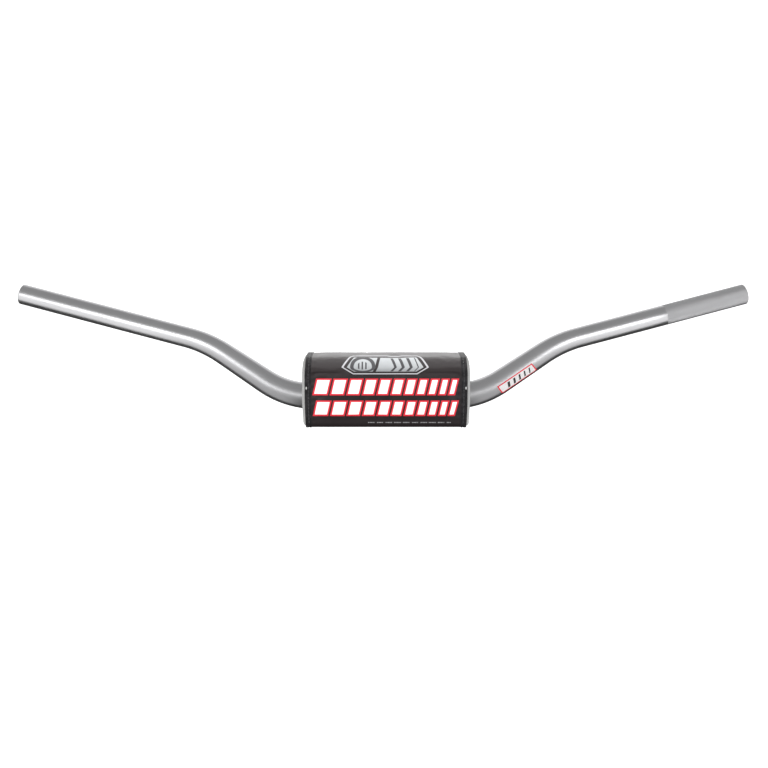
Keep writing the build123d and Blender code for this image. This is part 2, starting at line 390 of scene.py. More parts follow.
def build_tube():
    stations = mirrored(HALF_STATIONS) + HALF_STATIONS
    knurl_start = TUBE_END - (KNURL_LENGTH - END_CHAMFER) + KNURL_STEP / 2
    bm = bmesh.new()
    outer = []
    row = 0
    for point, direction, distance in stations:
        radius = radius_at(abs(distance), CLAMP_RADIUS, GRIP_RADIUS)
        knurled = distance > knurl_start
        if knurled:
            row += 1
            radius = [radius - KNURL_DEPTH * ((index + row) % 2) for index in range(ROUND)]
        outer.append(add_ring(bm, point, direction, radius))
        if len(outer) > 1:
            diagonal = row % 2 if row > 1 else None
            join_rings(bm, outer[-2], outer[-1], 1 if knurled else 0, not knurled, diagonal)
    inner = []
    plain = [station for station in stations if abs(station[2]) < TUBE_END - KNURL_LENGTH]
    for point, direction, distance in [stations[0], *plain, stations[-1]]:
        hollow = radius_at(abs(distance), CLAMP_BORE_RADIUS, GRIP_BORE_RADIUS)
        inner.append(add_ring(bm, point, direction, hollow))
        if len(inner) > 1:
            join_rings(bm, inner[-1], inner[-2], 2)
    for end in (0, -1):
        point, direction, distance = stations[end]
        face_point = point + direction * math.copysign(END_CHAMFER, distance)
        outer_rim = add_ring(bm, face_point, direction, GRIP_RADIUS - END_CHAMFER)
        inner_rim = add_ring(bm, face_point, direction, GRIP_BORE_RADIUS + END_CHAMFER)
        loops = [outer[end], outer_rim, inner_rim, inner[end]]
        if distance < 0:
            loops.reverse()
        for a, b in zip(loops, loops[1:]):
            join_rings(bm, a, b, 0, False)
    return new_object("handlebar_tube_surface", bm, [anodised_material(*row) for row in ANODISED])


place(build_tube(), PAD_BODY, "handlebar_tube", "anodised_tube")


# --- the pad's outline ---
# Inside these functions lengths are millimetres and x is counted from the pad's middle;
# to_frame() turns them into the frame's metres.
cover_low, cover_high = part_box("pad_cover")
PAD_X = (cover_low.x + cover_high.x) / 2
COVER_HALF = (cover_high.x - cover_low.x) / 2 / MM
COVER_DEPTH = cover_high.y / MM  # the cover's outer face, front and rear
COVER_TOP = cover_high.z / MM
COVER_BOTTOM = cover_low.z / MM
FOAM_HALF = (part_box("foam_core")[1].x - PAD_X) / MM
TOP_RADIUS = 14.5
BOTTOM_RADIUS = 4.5
COVER_THICKNESS = 1.2
FOAM_GAP = 0.15
HEM_WIDTH = 6.5
HEM_THICKNESS = 0.5
HEM_SEAM = 3.8  # from the hem's outer edge to its stitches
RETURN_EDGE = 29.5
END_RETURN_EDGE = 15.6
POCKET_INNER, POCKET_OUTER = 25.0, 75.0
POCKET_HALF_DEPTH, POCKET_TOP, POCKET_RADIUS = 29.0, 30.0, 5.0
SLOT_RADIUS = 15.1
SLOT_LIFT = 1.0
TAB_HALF = 24.0
TAB_INNER_EDGE = 14.0
TAB_UNDERSIDE = -23.7

BOTTOM_FLAT = COVER_DEPTH - BOTTOM_RADIUS - RETURN_EDGE
FACE_HEIGHT = COVER_TOP - TOP_RADIUS - (COVER_BOTTOM + BOTTOM_RADIUS)
TOP_FLAT = 2 * (COVER_DEPTH - TOP_RADIUS)
BOTTOM_ARC = math.pi / 2 * BOTTOM_RADIUS
TOP_ARC = math.pi / 2 * TOP_RADIUS
S_FRONT = BOTTOM_FLAT + BOTTOM_ARC  # where the front face begins, along the outline
S_FRONT_TOP = S_FRONT + FACE_HEIGHT
S_TOP = S_FRONT_TOP + TOP_ARC
S_TOP_REAR = S_TOP + TOP_FLAT
S_REAR = S_TOP_REAR + TOP_ARC
S_REAR_BOTTOM = S_REAR + FACE_HEIGHT
S_END = S_REAR_BOTTOM + BOTTOM_ARC + BOTTOM_FLAT
END_RETURN = RETURN_EDGE - END_RETURN_EDGE
CROWN_FACE = 0.5
CROWN_TOP = 0.3
FOLD_HEIGHT, FOLD_DEPTH = 54.0, 0.4  # faint fold along the top of the front and rear faces
BOTTOM_PULL = 0.8  # how far the ends draw in at the pad's bottom corners
TOP_PULL = 0.8  # and along the top
SETTLE = 1.5  # how far the pad's upper edges settle below its crown line
SETTLE_REACH = 30.0
COLUMN_STEP, FINE_STEP, RETURN_STEP = 1.5, 0.85, 1.6


def smoothstep(low, high, value):
    share = min(max((value - low) / (high - low), 0), 1)
    return share * share * (3 - 2 * share)


def spaced(low, high, step):
    """Evenly spaced values from low to high, about step apart."""
    count = max(1, round((high - low) / step))
    return [lerp(low, high, i / count) for i in range(count + 1)]


def to_frame(point):
    """From the pad's millimetres to the frame's metres, with the pad's settled upper edges."""
    drop = SETTLE * min(abs(point.y) / SETTLE_REACH, 1) ** 2 * smoothstep(20, 42, point.z)
    return Vector((PAD_X + point.x * MM, point.y * MM, (point.z - drop) * MM))


def outline(s):
    """Point (y, z) and outward normal on the cover's outer face, at s along the outline."""
    if s > S_END / 2:
        y, z, ny, nz = outline(S_END - s)
        return -y, z, -ny, nz
    if s < BOTTOM_FLAT:
        return -RETURN_EDGE - s, COVER_BOTTOM, 0.0, -1.0
    if s < S_FRONT:
        turn = (s - BOTTOM_FLAT) / BOTTOM_RADIUS
        ny, nz = -math.sin(turn), -math.cos(turn)
        corner_y = COVER_DEPTH - BOTTOM_RADIUS
        return -corner_y + BOTTOM_RADIUS * ny, COVER_BOTTOM + BOTTOM_RADIUS * (1 + nz), ny, nz
    if s < S_FRONT_TOP:
        return -COVER_DEPTH, COVER_BOTTOM + BOTTOM_RADIUS + s - S_FRONT, -1.0, 0.0
    if s < S_TOP:
        turn = (s - S_FRONT_TOP) / TOP_RADIUS
        ny, nz = -math.cos(turn), math.sin(turn)
        centre_y, centre_z = COVER_DEPTH - TOP_RADIUS, COVER_TOP - TOP_RADIUS
        return -centre_y + TOP_RADIUS * ny, centre_z + TOP_RADIUS * nz, ny, nz
    return s - S_TOP - TOP_FLAT / 2, COVER_TOP, 0.0, 1.0


def hump(s, start, end):
    """0 at start, 1 halfway and 0 at end."""
    if not start < s < end:
        return 0.0
    return math.sin(math.pi * (s - start) / (end - start)) ** 2


def end_pull(height):
    """How far the pad's ends draw in at a height above the clamp axis."""
    low = 1 - smoothstep(COVER_BOTTOM, 4, height)
    high = smoothstep(22, COVER_TOP, height)
    return BOTTOM_PULL * low ** 1.5 + TOP_PULL * high ** 1.5


def cover_point(x, s, lift=0.0):
    """Point on the stuffed cover, lifted off its outer face; crowned, creased and drawn in."""
    y, z, ny, nz = outline(s)
    near_s = min(s, S_END - s)
    inner = 1 - smoothstep(55, 80, abs(x))
    crown = CROWN_FACE * hump(near_s, S_FRONT - 3, S_FRONT_TOP + 6)
    crown += CROWN_TOP * hump(s, S_TOP - 10, S_TOP_REAR + 10)
    crease = 0.22 * noise.noise(Vector((x * 0.028, s * 0.055, 3.1)))
    crease += 0.08 * noise.noise(Vector((x * 0.09, s * 0.16, 8.4)))
    on_faces = smoothstep(S_FRONT, S_FRONT + 8, near_s)
    seam_line = COVER_HALF + HEM_THICKNESS - HEM_WIDTH
    near_seam = math.exp(-(((abs(x) - seam_line + 3.0) / 2.8) ** 2))
    pucker = 0.15 * near_seam * (math.sin(s * 0.9) + noise.noise(Vector((s * 0.25, x * 0.02, 1))))
    fold = math.exp(-(((near_s - S_FRONT - FOLD_HEIGHT - 2 * crease) / 1.3) ** 2))
    fold *= FOLD_DEPTH * smoothstep(30, 50, abs(x)) * smoothstep(0, 6, seam_line - abs(x))
    out = lift + crown * inner + (crease * inner + pucker) * on_faces - fold
    draw = end_pull(z) * smoothstep(50, 86, abs(x))
    return Vector((x - math.copysign(draw, x), y + ny * out, z + nz * out))


# --- the cover ---
def cover_columns():
    columns = []
    edges = (-COVER_HALF, -POCKET_OUTER, -TAB_HALF, TAB_HALF, POCKET_OUTER, COVER_HALF)
    for start, end in zip(edges, edges[1:]):
        step = FINE_STEP if COVER_HALF in (-start, end) else COLUMN_STEP
        columns += spaced(start, end, step)[1 if columns else 0:]
    return columns


def cover_rows():
    rows = spaced(0, BOTTOM_FLAT, 1.2)
    for end, step in (
        (S_FRONT, 0.9), (S_FRONT_TOP, 1.5), (S_TOP, 1.2), (S_TOP_REAR, 1.6), (S_REAR, 1.2),
        (S_REAR_BOTTOM, 1.5), (S_REAR_BOTTOM + BOTTOM_ARC, 0.9), (S_END, 1.2),
    ):
        rows += spaced(rows[-1], end, step)[1:]
    return rows


def tab_profile():
    """Step up into the closure recess and the flat tab, as (distance from the middle, z, reach)."""
    inner = RETURN_EDGE - COVER_THICKNESS
    points = [(RETURN_EDGE - 0.9, COVER_BOTTOM + 0.5), (inner, COVER_BOTTOM + 1.6)]
    points += [(inner, COVER_BOTTOM + 3.4), (inner - 0.5, TAB_UNDERSIDE - 0.4)]
    points += [(-y, TAB_UNDERSIDE) for y in spaced(-inner + 1.4, -TAB_INNER_EDGE, 1.5)]
    reach = 0.0
    before = (RETURN_EDGE, COVER_BOTTOM)
    profile = []
    for point in points:
        reach += math.dist(point, before)
        before = point
        profile.append((*point, reach))
    return profile


class Cloth:
    """Grid of points with surface coordinates that becomes a mesh."""

    def __init__(self):
        self.bm = bmesh.new()
        self.layer = self.bm.loops.layers.uv.new("surface")
        self.uv = {}

    def point(self, position, u, v):
        vertex = self.bm.verts.new(position)
        self.uv[vertex] = (u * MM, v * MM)
        return vertex

    def skin(self, rows):
        """Faces between rows; a None leaves a hole."""
        for lower, upper in zip(rows, rows[1:]):
            for corners in zip(lower, lower[1:], upper[1:], upper):
                if None in corners:
                    continue
                face = self.bm.faces.new(corners)
                face.smooth = True
                for loop in face.loops:
                    loop[self.layer].uv = self.uv[loop.vert]


def apply_modifiers(obj):
    """Replaces a mesh by its evaluated form."""
    bpy.context.view_layer.update()
    graph = bpy.context.evaluated_depsgraph_get()
    mesh = bpy.data.meshes.new_from_object(
        obj.evaluated_get(graph), preserve_all_data_layers=True, depsgraph=graph
    )
    obj.modifiers.clear()
    old = obj.data
    obj.data = mesh
    bpy.data.meshes.remove(old)
    mesh.name = obj.name


def thicken(obj, thickness):
    """Gives a cloth its thickness in mm, inwards from its outer face."""
    solid = obj.modifiers.new("thickness", "SOLIDIFY")
    assign(solid, thickness=thickness * MM, offset=-1, use_even_offset=True)
    apply_modifiers(obj)


STUFFING_FRAMES = 16
STUFFING_CAP = 0.4  # the most that the stuffed cover swells off its own shape


def stuff(cover, free):
    """Lets the foam's push swell the cover between its hems and its closure, as cloth."""
    group = cover.vertex_groups.new(name="held")
    for index, share in enumerate(free):
        group.add([index], 1 - share, "REPLACE")
    before = [vertex.co.copy() for vertex in cover.data.vertices]
    normals = [vertex.normal.copy() for vertex in cover.data.vertices]
    cloth = cover.modifiers.new("stuffing", "CLOTH")
    assign(
        cloth.settings, quality=6, mass=0.4, tension_stiffness=60, compression_stiffness=60,
        shear_stiffness=20, bending_stiffness=4, use_pressure=True, uniform_pressure_force=3,
        vertex_group_mass="held", shrink_min=-0.004, shrink_max=-0.004,
    )
    cloth.settings.effector_weights.gravity = 0
    assign(cloth.point_cache, frame_start=1, frame_end=STUFFING_FRAMES)
    for number in range(1, STUFFING_FRAMES + 1):
        scene.frame_set(number)
    apply_modifiers(cover)
    scene.frame_set(1)
    for vertex, old, normal, share in zip(cover.data.vertices, before, normals, free):
        push = (vertex.co - old).dot(normal) / MM
        push = STUFFING_CAP * math.tanh(max(push, -0.1) / STUFFING_CAP) * share
        vertex.co = old + normal * push * MM
    cover.vertex_groups.clear()


def build_cover(material):
    cloth = Cloth()
    columns = cover_columns()
    rows = []
    free = {}
    for s in cover_rows():
        row = []
        for x in columns:
            row.append(cloth.point(to_frame(cover_point(x, s)), x, s - S_FRONT))
            from_hem = smoothstep(0, 9, COVER_HALF - HEM_WIDTH - abs(x))
            free[row[-1]] = from_hem * smoothstep(S_FRONT, S_FRONT + 9, min(s, S_END - s))
        rows.append(row)
    cloth.skin(rows)
    for edge, base, sign in ((rows[0], 0, -1), (rows[-1], S_END, 1)):
        returns, tab = [edge], [edge]
        for reach in spaced(0, END_RETURN, RETURN_STEP)[1:]:
            inward = Vector((0, sign * reach, 0))
            returns.append([
                cloth.point(to_frame(cover_point(x, base) - inward), x, base + sign * reach - S_FRONT)
                if abs(x) > POCKET_OUTER - 0.01 else None for x in columns
            ])
        for y, z, reach in tab_profile():
            tab.append([
                cloth.point(to_frame(Vector((x, sign * y, z))), x, base + sign * reach - S_FRONT)
                if abs(x) < TAB_HALF + 0.01 else None for x in columns
            ])
        for strip in (returns, tab):
            cloth.skin(strip if sign > 0 else strip[::-1])
    free = [free.get(vertex, 0.0) for vertex in cloth.bm.verts]
    face_forwards(cloth.bm)
    cover = new_object("pad_cover_vinyl", cloth.bm, (material,))
    stuff(cover, free)
    thicken(cover, COVER_THICKNESS)
    return cover


# --- hem tapes and their thread ---
def hem_section():
    """Tape's cross-section: (distance in from its outer edge, lift off the cover's face)."""
    top, edge, seam, under = HEM_THICKNESS, HEM_WIDTH, HEM_SEAM, -COVER_THICKNESS
    sag = ((1.4, 0.0), (0.7, 0.05), (0.35, 0.2), (0.0, 0.26), (-0.35, 0.2), (-0.7, 0.05), (-1.4, 0.0))
    return [
        (edge, 0.02), (edge - 0.08, 0.3), (edge - 0.4, top), *((seam + a, top - b) for a, b in sag),
        (1.1, top), (0.45, top - 0.12), (0.1, top - 0.5), (0.0, top - 1.0),
        (0.05, under + 0.1), (0.5, under + 0.02), (0.48, 0.02), (3.0, 0.02),
    ]


def hem_stations():
    """Places along the outline of a hem: (s, extra reach beyond the outline's end)."""
    beyond = spaced(0, END_RETURN, RETURN_STEP)[1:]
    stations = [(0.0, reach) for reach in reversed(beyond)]
    stations += [(s, 0.0) for s in spaced(0, S_END, 0.9)]
    return stations + [(S_END, reach) for reach in beyond]


def hem_point(side, inset, s, reach, lift):
    x = side * (COVER_HALF + HEM_THICKNESS - inset)
    inward = -1 if s > S_END / 2 else 1
    return to_frame(cover_point(x, s, lift) + Vector((0, inward * reach, 0)))


def build_hem(side, name, material):
    bm = bmesh.new()
    section = hem_section()
    rings = []
    for s, reach in hem_stations():
        rings.append([bm.verts.new(hem_point(side, inset, s, reach, lift)) for inset, lift in section])
    skin_rings(bm, rings, smooth_ends=False)
    bmesh.ops.recalc_face_normals(bm, faces=bm.faces)
    return new_object(name, bm, (material,))


STITCH_PITCH = 3.6
STITCH_LENGTH = 2.9
STITCH_SHARES = (-0.5, -0.42, -0.25, 0.0, 0.25, 0.42, 0.5)
THREAD_RADIUS = 0.33
THREAD_SIDES = 7
PAINTED_GLINT_HEIGHT = 13.5  # painted glint: a short pale stitch on each hem that stands in for a small highlight, above the clamp axis
PAINTED_GLINT_INSET = 1.7
PAINTED_GLINT_LENGTH = 3.0


def add_stitch(bm, path, radius, material=0):
    """Round thread along a few points, thinner where it dives into the cloth; frame metres."""
    rings = []
    for index, at in enumerate(path):
        along = (path[min(index + 1, len(path) - 1)] - path[max(index - 1, 0)]).normalized()
        across = along.orthogonal().normalized()
        other = along.cross(across)
        girth = radius * (0.5 + 0.5 * math.sin(math.pi * index / (len(path) - 1)) ** 0.5)
        rings.append([bm.verts.new(at + spoke * girth) for spoke in spokes(across, other, THREAD_SIDES)])
    skin_rings(bm, rings, material)


def stitch_path(length, sink, point_at):
    """Points of a stitch; point_at takes an offset from its middle and a depth, in mm."""
    return [point_at(share * length, sink * abs(2 * share) ** 4) for share in STITCH_SHARES]


def build_hem_thread(side, name, materials):
    bm = bmesh.new()

    def add(inset, middle, length, lift, radius, material=0):
        path = stitch_path(
            length, 0.4, lambda along, depth: hem_point(side, inset, middle + along, 0, lift - depth)
        )
        add_stitch(bm, path, radius * MM, material)

    for index in range(int((S_END - 2 * S_FRONT) / STITCH_PITCH)):
        middle = S_FRONT + (index + 0.5) * STITCH_PITCH
        add(HEM_SEAM, middle, STITCH_LENGTH, HEM_THICKNESS - 0.06, THREAD_RADIUS)
    # painted glint: a short thick stitch in the pale thread, standing in for a small highlight on the
    # hem
    painted_glint_at = S_FRONT + PAINTED_GLINT_HEIGHT - (COVER_BOTTOM + BOTTOM_RADIUS)
    add(PAINTED_GLINT_INSET, painted_glint_at, PAINTED_GLINT_LENGTH, HEM_THICKNESS - 0.1, 1.6 * THREAD_RADIUS, 1)
    return new_object(name, bm, materials)


# --- the foam ---
FOAM_INSET = COVER_THICKNESS + FOAM_GAP
FOAM_VOXEL = 1.3
FOAM_OVERLAP = 0.4  # between neighbouring lengths, before the voxels join them
FOAM_PORE = 0.16
FOAM_SHY = 0.8  # the squeezed foam stands this much short of its cut length


def arc(centre_y, centre_z, radius, start, end, steps):
    """Points (y, z) on an arc between two angles in degrees, counted from +Y towards +Z."""
    angles = [math.radians(lerp(start, end, i / steps)) for i in range(steps + 1)]
    return [(centre_y + radius * math.cos(a), centre_z + radius * math.sin(a)) for a in angles]


def foam_section(inset, void):
    """Closed outline of the foam across the tube: an arch whose legs stand either side of void."""
    half = spaced(BOTTOM_FLAT, S_END / 2 - 0.5, 1.5)
    points = []
    for s in half + [S_END - s for s in reversed(half)]:
        y, z, ny, nz = outline(s)
        points.append((y - ny * inset, z - nz * inset))
    bottom = points[0][1]
    return points + [(void[0][0], bottom)] + void + [(void[-1][0], bottom)]


def foam_prism(bm, void, rings):
    """Closed length of foam through rings of (x, inset); void is the opening's outline."""
    skin_rings(bm, [
        [bm.verts.new(to_frame(Vector((x, y, z)))) for y, z in foam_section(inset, void)]
        for x, inset in rings
    ])


def foam_lengths():
    """The foam's lengths with their openings: two ends, two clamp pockets and the closure recess."""
    side = SLOT_RADIUS
    crown = arc(0, SLOT_LIFT, side, 0, 180, 32)
    channel = arc(0, 0, side, 0, 180, 32)
    corner = POCKET_HALF_DEPTH - POCKET_RADIUS
    top = POCKET_TOP - POCKET_RADIUS
    pocket = arc(corner, top, POCKET_RADIUS, 0, 90, 6) + arc(-corner, top, POCKET_RADIUS, 90, 180, 6)
    recess = RETURN_EDGE + FOAM_GAP
    ceiling = TAB_UNDERSIDE + COVER_THICKNESS + FOAM_GAP
    middle = [(recess, ceiling), (side, ceiling), *channel, (-side, ceiling), (-recess, ceiling)]
    half = FOAM_HALF - FOAM_SHY
    rounding = ((2.8, 0.0), (1.5, 0.3), (0.6, 1.1), (0.15, 2.2), (0.0, 3.6))
    end_rings = [(POCKET_OUTER, 0.0), *((half - back, inset) for back, inset in rounding)]
    reach = POCKET_INNER + FOAM_OVERLAP
    lengths = [(middle, [(-reach, 0.0), (reach, 0.0)])]
    for hand in (-1, 1):
        span = (POCKET_INNER, POCKET_OUTER + FOAM_OVERLAP)
        lengths.append((pocket, [(hand * x, 0.0) for x in span]))
        lengths.append((crown, [(hand * x, inset) for x, inset in end_rings]))
    return [(void, [(x, inset + FOAM_INSET) for x, inset in rings]) for void, rings in lengths]


def build_foam(material):
    """Voxels join the lengths; then the ends bulge and the skin gets its pores."""
    bm = bmesh.new()
    for void, rings in foam_lengths():
        foam_prism(bm, void, rings)
    bmesh.ops.recalc_face_normals(bm, faces=bm.faces)
    foam = new_object("pad_foam", bm)
    remesh = foam.modifiers.new("voxels", "REMESH")
    assign(remesh, mode="VOXEL", voxel_size=FOAM_VOXEL * MM, use_smooth_shade=True)
    assign(foam.modifiers.new("soften", "SMOOTH"), factor=0.5, iterations=2)
    apply_modifiers(foam)
    normals = [vertex.normal.copy() for vertex in foam.data.vertices]
    for vertex, normal in zip(foam.data.vertices, normals):
        at = vertex.co / MM
        rough = 0.5 + 0.5 * noise.noise(at * 0.55) + 0.25 * noise.noise(at * 1.7)
        x = vertex.co.x - PAD_X
        pull = 1.5 * end_pull(at.z) * smoothstep(FOAM_HALF - 14, FOAM_HALF - 1, abs(x) / MM)
        moved = vertex.co - normal * min(max(rough, 0), 1) * FOAM_PORE * MM
        vertex.co = moved - Vector((math.copysign(pull * MM, x), 0, 0))
    foam.data.materials.clear()
    foam.data.materials.append(material)
    return foam


# --- the closure under the pad ---
flap_low, flap_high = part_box("closing_flap")
loop_low, loop_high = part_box("loop_strip")
hook_low, hook_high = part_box("hook_strip")
sewn_low, sewn_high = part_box("flap_sewn_edge")
STRIP_HALF = (flap_high.x - PAD_X) / MM
FLAP_THICKNESS = 1.0
HINGE_Y, HINGE_Z = 22.0, -24.25
FLAP_KNEE_Y = -8.0
FLAP_Z = flap_low.z / MM + FLAP_THICKNESS / 2
FLAP_TIP_Y = flap_low.y / MM + FLAP_THICKNESS / 2
SEWN_END_Y = 26.8
WEB_STEP = 0.55
WEB_RIB = 0.11
WEB_SOFTENING = 6  # how often the flap's path is smoothed


def flap_path():
    """The flap's middle line as points (y, z), from its sewn edge to its tip."""
    corners = [(SEWN_END_Y, HINGE_Z), (HINGE_Y, HINGE_Z), (FLAP_KNEE_Y, FLAP_Z), (FLAP_TIP_Y, FLAP_Z)]
    points = []
    for start, end in zip(corners, corners[1:]):
        for share in spaced(0, 1, WEB_STEP / math.dist(start, end))[1 if points else 0:]:
            points.append((lerp(start[0], end[0], share), lerp(start[1], end[1], share)))
    for _ in range(WEB_SOFTENING):
        inner = [
            tuple((before + 2 * here + after) / 4 for before, here, after in zip(*three))
            for three in zip(points, points[1:], points[2:])
        ]
        points = [points[0]] + inner + [points[-1]]
    return points


def build_flap(material):
    """Woven strap, from under the rear tab to beyond the hook strip."""
    points = flap_path()
    bm = bmesh.new()
    columns = spaced(-STRIP_HALF, STRIP_HALF, WEB_STEP)
    sides = {1: [], -1: []}
    for number, (y, z) in enumerate(points):
        before = points[max(number - 1, 0)]
        after = points[min(number + 1, len(points) - 1)]
        along = Vector((0, after[0] - before[0], after[1] - before[1])).normalized()
        up = along.cross(Vector((1, 0, 0)))
        from_tip = (len(points) - 1 - number) * WEB_STEP
        narrowing = 3.0 * (1 - min(from_tip / 3.0, 1)) ** 2
        for side, rows in sides.items():
            row = []
            for index, x in enumerate(columns):
                rim = min(STRIP_HALF - abs(x), from_tip, number * WEB_STEP)
                half = FLAP_THICKNESS / 2 * (0.45 + 0.55 * min(rim / 0.8, 1) ** 0.5)
                weave = WEB_RIB * (0.5 + 0.5 * math.cos(math.pi * (index + (number // 2 % 2))))
                x_here = x * (STRIP_HALF - narrowing) / STRIP_HALF
                point = Vector((x_here, y, z)) + up * side * (half - weave)
                row.append(bm.verts.new(to_frame(point)))
            rows.append(row)
    top, bottom = sides[1], sides[-1]
    seams = [(top[end], bottom[end]) for end in (0, -1)]
    seams += [([row[end] for row in top], [row[end] for row in bottom]) for end in (0, -1)]
    for first, second in [*zip(top, top[1:]), *zip(bottom, bottom[1:]), *seams]:
        for corners in zip(first, first[1:], second[1:], second):
            bm.faces.new(corners).smooth = True
    bmesh.ops.recalc_face_normals(bm, faces=bm.faces)
    return new_object("closing_flap_webbing", bm, (material,))


def strip_base(bm, low, high):
    """Thin woven backing between two corners in frame metres, with softened edges."""
    made = bmesh.ops.create_cube(bm, size=1)
    for vertex in made["verts"]:
        vertex.co = [lerp(a, b, t + 0.5) for a, b, t in zip(low, high, vertex.co)]
    edges = list({edge for vertex in made["verts"] for edge in vertex.link_edges})
    bmesh.ops.bevel(bm, geom=edges, offset=0.12 * MM, segments=2, affect="EDGES", profile=0.5)


def build_hooks(material):
    """Hook tape: a backing with rows of bent nylon hooks that face the loops."""
    bm = bmesh.new()
    backing = Vector((hook_high.x, hook_high.y, hook_low.z + 0.4 * MM))
    strip_base(bm, hook_low, backing)
    rise = (hook_high.z - backing.z) / MM
    hook = ((0.0, 0.0), (0.02, 0.35), (0.08, 0.68), (0.25, 0.86), (0.45, 0.8), (0.52, 0.6))
    for row, y in enumerate(spaced(hook_low.y / MM + 1.2, hook_high.y / MM - 1.2, 1.3)):
        for x in spaced(-STRIP_HALF + 1.3, STRIP_HALF - 1.8, 1.5):
            lean = 1 if row % 2 else -1
            base = Vector((x, y, backing.z / MM - 0.05))
            path = [to_frame(base + Vector((lean * a, 0, b * (rise + 0.05) / 0.97))) for a, b in hook]
            add_stitch(bm, path, 0.16 * MM)
    return new_object("hook_strip_tape", bm, (material,))


def build_loops(material):
    """Loop tape: a backing with a random pile of small loops that hang towards the hooks."""
    rng = random.Random(11)
    bm = bmesh.new()
    backing = Vector((loop_low.x, loop_low.y, loop_high.z - 0.5 * MM))
    strip_base(bm, backing, loop_high)
    drop = (backing.z - loop_low.z) / MM
    for y in spaced(loop_low.y / MM + 0.9, loop_high.y / MM - 0.9, 0.95):
        for x in spaced(-STRIP_HALF + 0.9, STRIP_HALF - 0.9, 1.05):
            turn = rng.uniform(0, math.pi)
            across = Vector((math.cos(turn), math.sin(turn), 0)) * rng.uniform(0.3, 0.45)
            sway = Vector((rng.uniform(-0.2, 0.2), rng.uniform(-0.2, 0.2), 0))
            sway.z = -drop * rng.uniform(0.7, 0.95)
            root = Vector((x + rng.uniform(-0.15, 0.15), y + rng.uniform(-0.1, 0.1), 0))
            root.z = backing.z / MM + 0.04
            angles = [math.pi * step / 6 for step in range(7)]
            path = [to_frame(root + across * math.cos(a) + sway * math.sin(a)) for a in angles]
            add_stitch(bm, path, 0.09 * MM)
    return new_object("loop_strip_tape", bm, (material,))


def build_seam(name, rows, material):
    """Rows of stitches across the closure, hanging from z; rows are (y, z) in mm."""
    bm = bmesh.new()
    count = int((2 * STRIP_HALF - STITCH_LENGTH) / STITCH_PITCH)
    for y, z in rows:
        for index in range(count):
            middle = Vector(((index - (count - 1) / 2) * STITCH_PITCH, y, z - 0.05))
            path = stitch_path(
                STITCH_LENGTH, 0.35, lambda along, depth: to_frame(middle + Vector((along, 0, depth)))
            )
            add_stitch(bm, path, THREAD_RADIUS * 0.7 * MM)
    return new_object(name, bm, (material,))


# --- the pad's materials ---
STICKER_GAP = 0.08
STICKER_THICKNESS = 0.15
STICKER_START = -7.6  # from the end of the lower bend
STICKER_LENGTH = 46.0
STICKER_TALL = 11.0
STICKER_SLANT = -0.12
STICKER_BAR_SLANT = 0.30
STICKER_BARS = (3.0, 2.6, 2.2, 1.9, 1.6)
STICKER_BAR_START = -12.5
STICKER_BAR_GAP = 4.4
STICKER_WHITE = (0.58, 0.57, 0.57)
STICKER_TURN = math.radians(-27)  # round the tube, down from straight ahead
STICKER_MARGIN = 2.3  # from its long edges to the bars


def soft(distance, width):
    """1 inside a signed distance, 0 outside, with an edge of that width."""
    share = distance * (-1 / width) + 0.5
    return Field(share.nodes, share.nodes.add("Clamp", {"Value": share}).outputs[0])


def bar_row(u, v, height, widths, start, gap, slant):
    """Signed distance in mm to a row of slanted bars, centred on v = 0."""
    along = u - v * slant
    bars = []
    for width in widths:
        bars.append(abs(along - (start + width / 2)) - width / 2)
        start += width + gap
    return highest(lowest(*bars) * math.cos(math.atan(slant)), abs(v) - height / 2)


def hexagon(u, v, half_length, half_height, taper):
    """Signed distance in mm to a long hexagon with pointed ends."""
    ends = (abs(u) + abs(v) * taper - half_length) / math.hypot(1, taper)
    return highest(ends, abs(v) - half_height)


def ellipse(u, v, half_length, half_height):
    """Rough signed distance in mm to an ellipse."""
    x, y = u / half_length, v / half_height
    return ((x * x + y * y).math("SQRT") - 1) * half_height


def printed(n, colour, width, *layers):
    """Prints (signed distance, ink) layers over a colour, with edges of that width."""
    for shape, ink in layers:
        colour = n.mix(soft(shape, width), colour, ink)
    return colour


VINYL_BLACK = (0.0095, 0.0048, 0.0056)
PRINT_WHITE = (0.86, 0.84, 0.84)
PRINT_RED = (0.60, 0.006, 0.022)
BAR_WIDTHS = (13.0, 12.0, 11.0, 10.0, 9.3, 8.5, 7.6, 6.8, 6.0, 5.2, 4.5)
BAR_GAP = 5.3
BAR_START = -73.9
BAR_SLANT = 0.24
BAR_ROWS = ((39.0, 14.6), (16.3, 13.2))  # height up the front face, and tall
RED_WIDTH = 1.7
BADGE_U, BADGE_V = -1.0, 61.0
BADGE_HALF, BADGE_TALL = 46.0, 8.2
BADGE_SQUEEZE = 0.36  # of its upper half, which runs back over the top
BADGE_TAPER = 1.5  # length of its points for each mm of height
BADGE_OVAL, OVAL_HALF, OVAL_TALL = -23.5, 11.5, 4.8
BADGE_SPLIT = -9.0  # slanted gap between the oval's side and the chevrons' side
CHEVRON_MIDDLE, CHEVRON_SPAN = 22.5, 13.0
BADGE_MARKS = (0.035, 0.034, 0.038)
BADGE_LINE = (0.42, 0.42, 0.44)
DASH_V, DASH_HALF_HEIGHT = 1.1, 0.45
DASH_U, DASH_REACH = 25, 44
DASH_GREY = (0.30, 0.30, 0.31)


